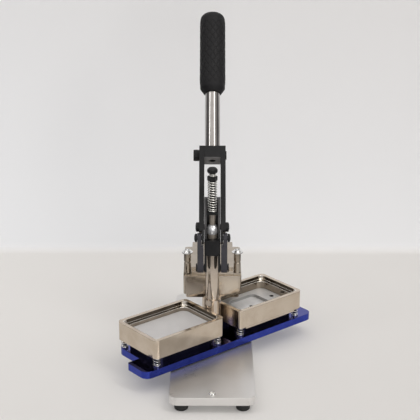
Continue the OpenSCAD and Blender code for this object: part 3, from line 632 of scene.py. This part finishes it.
def makeBeads():
    half, work = dieRing["half"], beadTree()
    for side, name in ((-1, "left"), (1, "right")):
        whole = bmesh.new()
        for part in ("rim", "low"):
            bead = stepBead[part]
            inset = dieRing[bead["wall"]] - bead["radius"] + bead["proud"]
            sizes = {"Length": 2 * (half[0] - inset) * mm, "Width": 2 * (half[1] - inset) * mm,
                     "Corner": dieRing[bead["corner"]] * mm, "Bead Radius": bead["radius"] * mm}
            mesh = grow(name + part, *work, sizes)
            mesh.transform(Matrix.Translation((0, 0, stepHeight + bead["lift"] * mm)))
            whole.from_mesh(mesh)
            bpy.data.meshes.remove(mesh)
        mesh = meshFrom(name + "StepBeads", whole)
        mesh.materials.append(surfaces["beadNickel"])
        place(name + "StepBeads", mesh, dieMatrix(side), name + "_ring", "die_nickel")


makeBeads()
print("ring steps beaded")

# dark beads between the right ring and the rails under its long sides, a painted shadow where the ring's step
# shades the rail
railSeam = {"inset": 12.0, "step": 1.5, "radius": 0.45, "proud": 0.35}


def shadowLineTree():
    tree, idOf = newTree("railSeam", {"Length": "NodeSocketFloat", "Apart": "NodeSocketFloat",
                                      "Radius": "NodeSocketFloat"})
    half, aside = size(tree, "Length") / 2, size(tree, "Apart") / 2
    both = tree.node("GeometryNodeJoinGeometry")
    for way in (-1, 1):
        start, end = (tree.add("ShaderNodeCombineXYZ", None, {"X": half * sign, "Y": aside * way})
                      for sign in (-1, 1))
        line = tree.add("GeometryNodeCurvePrimitiveLine", None, {"Start": start, "End": end})
        shadowTube = tubeAlong(tree, line, size(tree, "Radius"), True)
        tree.nodeTree.links.new(shadowTube.socket, both.inputs[0])
    closeTree(tree, tree.out(both), "blackOxide")
    return tree, idOf


def makeShadowLines():
    s, half = railSeam, dieRing["half"]
    sizes = {"Length": 2 * (half[0] - s["inset"]) * mm, "Radius": s["radius"] * mm,
             "Apart": 2 * (half[1] - s["step"] + s["proud"] - s["radius"]) * mm}
    mesh = grow("railSeams", *shadowLineTree(), sizes)
    matrix = Matrix.Translation((0, 0, ringLow - s["radius"] * mm)) @ dieMatrix(1)
    place("railSeams", mesh, matrix, "right_ring", "black_steel")


makeShadowLines()
print("rail seams laid")

# knurled heads: tapered ridges round a circle
capKnurl = {"ridges": 20, "ridge": 0.55, "sink": 0.25, "low": 0.8, "high": 2.0}
screwKnurl = {"ridges": 24, "ridge": 0.6, "sink": 0.3, "length": 7.4}
knurlRidge = {"segments": 10, "rings": 8}


def knurlTree():
    tree, idOf = newTree("knurl", {"Radius": "NodeSocketFloat", "Ridge": "NodeSocketFloat",
                                   "Length": "NodeSocketFloat", "Ridges": "NodeSocketInt"})
    circle = tree.add("GeometryNodeMeshCircle", None,
                      {"Vertices": size(tree, "Ridges"), "Radius": size(tree, "Radius")})
    spindle = tree.add("GeometryNodeMeshUVSphere", None,
                       {"Segments": knurlRidge["segments"], "Rings": knurlRidge["rings"], "Radius": 1.0})
    shape = tree.add("ShaderNodeCombineXYZ", None, {"X": size(tree, "Ridge"), "Y": size(tree, "Ridge"),
                                                    "Z": size(tree, "Length") / 2})
    ridges = tree.add("GeometryNodeInstanceOnPoints", None,
                      {"Points": circle, "Instance": spindle, "Scale": shape})
    closeTree(tree, tree.add("GeometryNodeSetShadeSmooth", None, [ridges]), "blackOxide")
    return tree, idOf


def makeKnurls():
    work = knurlTree()
    low, high = (Vector(corner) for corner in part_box("spring_cap"))
    k = capKnurl
    tall = high.z - low.z - (k["low"] + k["high"]) * mm
    sizes = {"Radius": (high.x - low.x) / 2 - k["sink"] * mm, "Ridge": k["ridge"] * mm, "Length": tall,
             "Ridges": k["ridges"]}
    mesh = grow("capKnurl", *work, sizes)
    matrix = Matrix.Translation((leverPin.x, leverPin.y, low.z + k["low"] * mm + tall / 2))
    place("capKnurl", mesh, matrix, "ram", "black_steel")
    low, high = (Vector(corner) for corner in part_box("yoke_screw_left"))
    k = screwKnurl
    middle = (low + high) / 2
    middle.x = low.x + k["length"] / 2 * mm
    sizes = {"Radius": (high.z - low.z) / 2 - k["sink"] * mm, "Ridge": k["ridge"] * mm,
             "Length": k["length"] * mm, "Ridges": k["ridges"]}
    mesh = grow("screwKnurl", *work, sizes)
    matrix = Matrix.Translation(middle) @ Matrix.Rotation(math.radians(90), 4, "Y")
    place("screwKnurl", mesh, matrix, "lever", "black_steel")


makeKnurls()
print("heads knurled")

leverPlace = Matrix.Translation(leverPin) @ Matrix.Rotation(-leverLean, 4, "X")


# a smooth shape turned round Z from an outline of radius and height; a radius of 0 closes it
def turned(name, outline, steps):
    shell = bmesh.new()
    rings = []
    for radius, height in outline:
        if radius == 0:
            rings.append([shell.verts.new((0, 0, height * mm))])
        else:
            rings.append([shell.verts.new((radius * mm * math.cos(2 * math.pi * k / steps),
                                           radius * mm * math.sin(2 * math.pi * k / steps), height * mm))
                          for k in range(steps)])
    for below, above in zip(rings, rings[1:]):
        for k in range(steps):
            a, b = below[k % len(below)], below[(k + 1) % len(below)]
            c, d = above[(k + 1) % len(above)], above[k % len(above)]
            corners = [v for i, v in enumerate((a, b, c, d)) if v not in (a, b, c, d)[:i]]
            if len(corners) > 2:
                shell.faces.new(corners)
    bmesh.ops.recalc_face_normals(shell, faces=shell.faces)
    return smoothed(meshFrom(name, shell))


# low domes on the heads of the lever pin and the link bolts
headDome = {"rise": 1.3, "rim": 0.3, "step": 15, "around": 32}


def makeDomes():
    d, whole = headDome, bmesh.new()
    for node, ways in (("lever_pin", (-1, 1)), ("link_bolt_left", (-1,)), ("link_bolt_right", (1,))):
        low, high = (Vector(corner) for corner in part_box(node))
        middle = (low + high) / 2
        wide = (high.z - low.z) / 2 / mm - d["rim"]
        outline = [(wide * math.cos(math.radians(a)), d["rise"] * math.sin(math.radians(a)))
                   for a in range(0, 90, d["step"])] + [(0, d["rise"])]
        for way in ways:
            mesh = turned("headDome", outline, d["around"])
            end = Vector((low.x if way < 0 else high.x, middle.y, middle.z))
            mesh.transform(Matrix.Translation(end) @ Matrix.Rotation(math.radians(90 * way), 4, "Y"))
            whole.from_mesh(mesh)
            bpy.data.meshes.remove(mesh)
    mesh = smoothed(meshFrom("headDomes", whole))
    mesh.materials.append(surfaces["blackOxide"])
    place("headDomes", mesh, Matrix(), "lever", "black_steel")


makeDomes()
print("heads domed")

# the grip: a sleeve turned from its mouth to its round end, and lozenge pads in staggered rows
grip = {"start": 177.5, "length": 112.0, "radius": 16.5, "core": 15.95, "bar": 9.5, "fit": 0.05,
        "socket": 14.0, "bevel": (0.7, 0.6), "lip": 11.4, "lipRound": (0.6, 0.4), "mouth": 7.0,
        "shoulder": (0.4, 0.6), "straight": (20.0, 60.0), "round": 9.0, "roundStep": 10, "steps": 72,
        "around": 12, "rowPitch": 11.6, "rows": 8, "rowShift": 1.0}
gripPad = {"share": 0.86, "sink": 0.2, "sideCuts": 4,
           "layers": ((0.96, 0.6), (0.84, 0.94), (0.6, 1.0), (0.3, 1.0))}


# one lozenge pad, bent later round the grip
def padMesh():
    half = math.pi * grip["core"] / grip["around"] * gripPad["share"]
    tall = grip["rowPitch"] / 2 * gripPad["share"]
    rise = grip["radius"] - grip["core"]
    corners = [(half, 0), (0, tall), (-half, 0), (0, -tall)]
    rim = []
    for (ax, ay), (bx, by) in zip(corners, corners[1:] + corners[:1]):
        for t in (k / gripPad["sideCuts"] for k in range(gripPad["sideCuts"])):
            rim.append((ax + (bx - ax) * t, ay + (by - ay) * t))
    pad = bmesh.new()
    layers = [(1.0, -gripPad["sink"])] + [(share, rise * lift) for share, lift in gripPad["layers"]]
    rings = [[pad.verts.new((x * share * mm, y * share * mm, z * mm)) for x, y in rim] for share, z in layers]
    for below, above in zip(rings, rings[1:]):
        for k in range(len(rim)):
            m = (k + 1) % len(rim)
            pad.faces.new((below[k], below[m], above[m], above[k]))
    pad.faces.new(rings[-1])
    obj = bpy.data.objects.new("gripPad", meshFrom("gripPad", pad))
    scene.collection.objects.link(obj)
    return obj


# pads on two staggered grids, wrapped round the grip
def padTree():
    tree, idOf = newTree("gripPads", {"Radius": "NodeSocketFloat", "Row Pitch": "NodeSocketFloat",
                                      "Around": "NodeSocketInt", "Rows": "NodeSocketInt",
                                      "Pad": "NodeSocketObject"})
    radius, pitch = size(tree, "Radius"), size(tree, "Row Pitch")
    around, rows = size(tree, "Around"), size(tree, "Rows")
    step = radius * (2 * math.pi) / around
    pad = tree.add("GeometryNodeObjectInfo", None, {"Object": size(tree, "Pad")}, "Geometry")
    halves = []
    for shift, fewer in ((0.0, 0), (0.5, 1)):
        grid = tree.add("GeometryNodeMeshGrid", None,
                        {"Size X": step * (around - 1), "Size Y": pitch * (rows - 1 - fewer),
                         "Vertices X": around, "Vertices Y": rows - fewer})
        aside = tree.add("ShaderNodeCombineXYZ", None, {"X": step * shift})
        moved = tree.add("GeometryNodeTransform", None, {"Geometry": grid, "Translation": aside})
        halves.append(tree.add("GeometryNodeInstanceOnPoints", None, {"Points": moved, "Instance": pad}))
    both = tree.node("GeometryNodeJoinGeometry")
    for half in halves:
        tree.nodeTree.links.new(half.socket, both.inputs[0])
    flat = tree.add("GeometryNodeRealizeInstances", None, [tree.out(both)])
    spot = tree.node("ShaderNodeSeparateXYZ", None, [tree.add("GeometryNodeInputPosition")])
    angle = tree.out(spot, 0) / radius
    reach = tree.out(spot, 2) + radius
    sine, cosine = angle.math("SINE", angle), angle.math("COSINE", angle)
    wrapped = tree.add("ShaderNodeCombineXYZ", None,
                       {"X": reach * sine, "Y": reach * cosine * -1, "Z": tree.out(spot, 1)})
    bent = tree.add("GeometryNodeSetPosition", None, {"Geometry": flat, "Position": wrapped})
    closeTree(tree, bent, "gripRubber")
    return tree, idOf


def makeGrip():
    g = grip
    arc = [(g["core"] - g["round"] + g["round"] * math.cos(math.radians(a)),
            g["length"] - g["round"] + g["round"] * math.sin(math.radians(a)))
           for a in range(0, 91, g["roundStep"])]
    bore, core, mouth = g["bar"] + g["fit"], g["core"], g["mouth"]
    (bevelWide, bevelTall), (lipWide, lipTall), (inward, down) = g["bevel"], g["lipRound"], g["shoulder"]
    outline = [(bore, g["socket"]), (bore, bevelTall), (g["bar"] + bevelWide, 0), (g["lip"] - lipWide, 0)]
    outline += [(g["lip"], lipTall), (core - inward, mouth - down), (core, mouth + inward)]
    outline += [(core, height) for height in g["straight"]]
    outline += arc + [(0, g["length"])]
    body = turned("gripBody", outline, g["steps"])
    pad = padMesh()
    pads = grow("gripPads", *padTree(), {"Radius": g["core"] * mm, "Row Pitch": g["rowPitch"] * mm,
                                         "Around": g["around"], "Rows": g["rows"], "Pad": pad})
    bpy.data.objects.remove(pad)
    joined = bmesh.new()
    joined.from_mesh(body)
    pads.transform(Matrix.Translation((0, 0, (g["length"] / 2 + g["rowShift"]) * mm)))
    joined.from_mesh(pads)
    mesh = meshFrom("grip", joined)
    mesh.materials.append(surfaces["gripRubber"])
    matrix = leverPlace @ Matrix.Translation((0, 0, g["start"] * mm))
    place("gripSleeve", mesh, matrix, "lever", "grip_rubber", "grip")


makeGrip()
print("grip moulded")

camera = {"at": (0.00155, -1.31725, 0.6565), "tilt": 70.774, "turn": 0.193, "lens": 97.8, "sensor": 36}
seen = bpy.data.cameras.new("photoCamera")
seen.lens = camera["lens"]
seen.sensor_width = camera["sensor"]
seenFrom = bpy.data.objects.new("photoCamera", seen)
seenFrom.location = camera["at"]
seenFrom.rotation_euler = (math.radians(camera["tilt"]), 0, math.radians(camera["turn"]))
scene.collection.objects.link(seenFrom)
scene.camera = seenFrom

# in metres; for the camera alone, the paper's glow changes across, along and up it by the shares given
studio = {"wallAt": 0.365, "bend": 0.012, "bendStep": 10, "flat": 0.004, "half": 3.0, "height": 2.6,
          "front": -3.0, "frontRow": -1.0, "wallRow": 0.6, "matt": 0.75,
          "floor": (0.61, 0.595, 0.58), "wall": (0.80, 0.79, 0.79),
          "floorGlow": (0.143, 0.141, 0.137), "wallGlow": (0.150, 0.159, 0.169),
          "across": (-0.325, 0.325), "along": (-0.16, 0.35), "upward": (0.0, 0.41),
          "floorAcross": (0.22, -0.22), "floorAlong": (-0.03, 0.51),
          "wallAcross": (0.24, -0.24), "wallUpward": (0.35, -0.58),
          "tableEdge": (0.25, 0.38), "wallEdge": (0.42, 0.65), "fade": (0.9, 2.4)}


# paper sweep: floor, a short bend and the wall, clear from behind; polished metal sees past the table's edge
def makeSweep():
    s, wall, bend = studio, studio["wallAt"], studio["bend"]
    path = [(s["front"], 0), (s["frontRow"], 0), (wall - bend - s["flat"], 0), (wall - bend, 0)]
    path += [(wall - bend + bend * math.sin(math.radians(a)), bend - bend * math.cos(math.radians(a)))
             for a in range(s["bendStep"], 91, s["bendStep"])]
    path += [(wall, bend + s["flat"]), (wall, s["wallRow"]), (wall, s["height"])]
    sheet = bmesh.new()
    rows = [[sheet.verts.new((x, y, z)) for x in (-s["half"], s["half"])] for y, z in path]
    for a, b in zip(rows, rows[1:]):
        sheet.faces.new((a[0], a[1], b[1], b[0]))
    mesh = smoothed(meshFrom("paperSweep", sheet))
    material, tree = newSurface("paperSweep")
    spot = tree.add("ShaderNodeTexCoord", None, None, "Object")
    axes = tree.node("ShaderNodeSeparateXYZ", None, [spot])
    across, along, height = (tree.out(axes, k) for k in range(3))
    up = spread(tree, height, 0, 1, 0, bend)
    paper = tree.add("ShaderNodeBsdfPrincipled", None,
                     {"Base Color": tint(tree, up, s["floor"], s["wall"]), "Roughness": s["matt"]})
    rays = tree.node("ShaderNodeLightPath")
    straight, mirrored = tree.out(rays, "Is Camera Ray"), tree.out(rays, "Is Glossy Ray")
    floorLean = spread(tree, across, *s["floorAcross"], *s["across"])
    floorLean = floorLean + spread(tree, along, *s["floorAlong"], *s["along"])
    wallLean = spread(tree, across, *s["wallAcross"], *s["across"])
    wallLean = wallLean + spread(tree, height, *s["wallUpward"], *s["upward"])
    looked = straight + mirrored + tree.out(rays, "Is Transmission Ray")
    looked = looked + (floorLean * (1 - up) + wallLean * up) * straight
    glow = tree.add("ShaderNodeEmission", None,
                    {"Color": tint(tree, up, s["floorGlow"], s["wallGlow"]), "Strength": looked})
    paper = tree.add("ShaderNodeAddShader", None, [paper, glow])
    clear = tree.add("ShaderNodeBsdfTransparent")
    reach = tree.add("ShaderNodeVectorMath", {"operation": "LENGTH"}, [spot], "Value")
    past = spread(tree, reach, 0, 1, *s["tableEdge"]) * (1 - up)
    past = past + spread(tree, abs(across), 0, 1, *s["wallEdge"]) * up
    past = past * mirrored + spread(tree, reach, 0, 1, *s["fade"]) * straight
    table = tree.add("ShaderNodeMixShader", None, [past, paper, clear])
    behind = tree.add("ShaderNodeNewGeometry", None, None, "Backfacing")
    sheer = tree.add("ShaderNodeMixShader", None, [behind, table, clear])
    tree.node("ShaderNodeOutputMaterial", None, {"Surface": sheer})
    mesh.materials.append(material)
    obj = bpy.data.objects.new("paperSweep", mesh)
    scene.collection.objects.link(obj)


makeSweep()

lamps = {
    "keyRight": {"at": (0.9, -0.75, 1.5), "to": (0, 0.05, 0.15), "size": (0.28, 1.8), "watts": 8,
                 "colour": (1.0, 0.985, 0.96)},
    "fillLeft": {"at": (-1.1, -0.5, 1.25), "to": (0, 0.05, 0.15), "size": (0.14, 1.4), "watts": 3.4,
                 "colour": (0.97, 0.98, 1.0)},
    "front": {"at": (0.45, -1.60, 0.42), "to": (0, 0.05, 0.10), "size": (1.3, 0.8), "watts": 7.0,
              "colour": (1.0, 0.99, 0.97)},
    "overhead": {"at": (0.0, -0.6, 1.9), "to": (0, 0.1, 0.1), "size": (2.0, 2.0), "watts": 5.5,
                 "colour": (1.0, 0.985, 0.965)},
}
for name, lamp in lamps.items():
    light = bpy.data.lights.new(name, "AREA")
    light.shape = "RECTANGLE"
    light.size, light.size_y = lamp["size"]
    light.energy = lamp["watts"]
    light.color = lamp["colour"]
    obj = bpy.data.objects.new(name, light)
    obj.location = lamp["at"]
    obj.rotation_euler = (Vector(lamp["to"]) - Vector(lamp["at"])).to_track_quat("-Z", "Y").to_euler()
    scene.collection.objects.link(obj)

# the room round the table, level by compass angle: 0.5 lies towards the front, less is left, more is right
room = {"levels": [(0.00, 0.16), (0.26, 0.14), (0.28, 0.03), (0.35, 0.03), (0.38, 0.30), (0.45, 0.26),
                   (0.465, 0.06), (0.49, 0.06), (0.52, 0.22), (0.60, 0.42), (0.70, 0.36), (0.75, 0.14),
                   (1.00, 0.16)],
        "ceiling": (0.56, 0.54, 0.52), "rise": (0.35, 0.75), "seen": (0.66, 0.65, 0.65), "blue": 1.02}


def makeRoom():
    world = bpy.data.worlds.new("room")
    world.use_nodes = True
    world.node_tree.nodes.clear()
    tree = Tree(world.node_tree)
    direction = tree.add("ShaderNodeTexCoord", None, None, "Generated")
    way = tree.node("ShaderNodeSeparateXYZ", None, [direction])
    angle = tree.add("ShaderNodeMath", {"operation": "ARCTAN2"}, [tree.out(way, 0), tree.out(way, 1) * -1])
    stops = [(at, (level, level, level * room["blue"], 1)) for at, level in room["levels"]]
    sides = tree.add("ShaderNodeValToRGB", {"stops": stops}, [angle / (2 * math.pi) + 0.5])
    risen = spread(tree, tree.out(way, 2), 0, 1, *room["rise"])
    dome = mixColours(tree, risen, sides, (*room["ceiling"], 1))
    seenDirectly = tree.add("ShaderNodeLightPath", None, None, "Is Camera Ray")
    colour = mixColours(tree, seenDirectly, dome, (*room["seen"], 1))
    glow = tree.add("ShaderNodeBackground", None, {"Color": colour, "Strength": 1.0})
    tree.node("ShaderNodeOutputWorld", None, {"Surface": glow})
    scene.world = world


makeRoom()
print("studio set")
